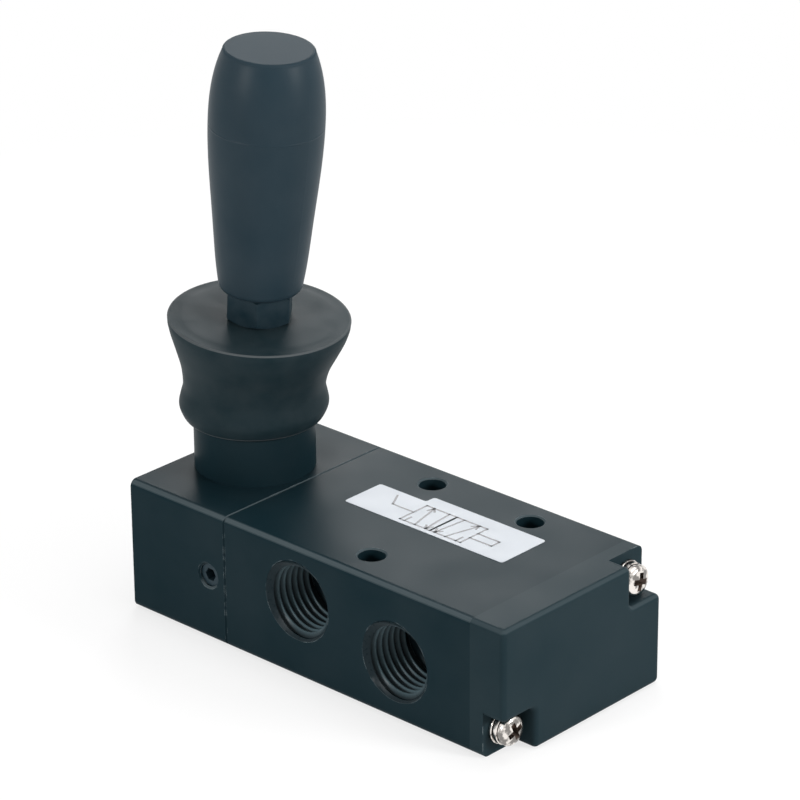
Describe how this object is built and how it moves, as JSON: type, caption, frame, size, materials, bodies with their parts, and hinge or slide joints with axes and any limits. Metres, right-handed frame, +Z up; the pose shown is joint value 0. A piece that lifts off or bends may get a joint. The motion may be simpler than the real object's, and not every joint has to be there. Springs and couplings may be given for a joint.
{
  "type": "hand lever air valve",
  "caption": "Hand lever 5/2 spool valve for compressed air: block with threaded ports and fixing holes, leaning lever with grip and rubber boot, detented spool.",
  "frame": {"origin": "centre of the block's bottom face", "axes": "+X along the spool from the lever end to the end cap, +Y from the A and B ports to the inlet side, +Z up"},
  "size_m": [0.0845, 0.0376, 0.0961],
  "materials": {
    "anodised_aluminium": "satin, black anodised",
    "spool_aluminium": "ground, natural anodised",
    "plated_steel": "bright nickel plated",
    "lever_steel": "turned and ground",
    "blackened_steel": "black oxide",
    "spring_steel": "drawn wire",
    "bearing_steel": "polished",
    "brass": "turned",
    "boot_rubber": "satin, moulded",
    "seal_rubber": "matt, moulded",
    "grip_plastic": "satin, moulded"
  },
  "bodies": {
    "block": {"valve_body": "anodised_aluminium", "lever_housing": "anodised_aluminium", "end_cap": "anodised_aluminium", "end_cap_screws": "plated_steel", "end_cap_spring_washers": "plated_steel", "end_cap_flat_washers": "plated_steel", "housing_screws": "plated_steel", "housing_seal": "seal_rubber", "cap_seal": "seal_rubber", "spool_bumper": "seal_rubber", "detent_ball": "bearing_steel", "detent_spring": "spring_steel", "detent_set_screw": "blackened_steel", "pivot_pin": "plated_steel", "rubber_boot": "boot_rubber"},
    "lever": {"lever_shaft": "lever_steel", "boot_washer": "plated_steel", "lock_nut": "blackened_steel", "grip_insert": "brass", "lever_grip": "grip_plastic"},
    "spool_group": {"spool": "spool_aluminium", "spool_seals": "seal_rubber"}
  },
  "joints": [
    {"name": "lever_hinge", "type": "hinge", "parent": "block", "child": "lever", "pos_m": [-0.03035, 0, 0.0275], "axis": [0, 1, 0], "range_deg": [-8.8, 0], "deforming": ["rubber_boot"]},
    {"name": "spool_slide", "type": "slide", "parent": "block", "child": "spool_group", "axis": [1, 0, 0], "range_m": [0, 0.00246]}
  ],
  "couplings": [
    {"joint": "spool_slide", "follows": "lever_hinge", "m_per_rad": -0.015984}
  ]
}
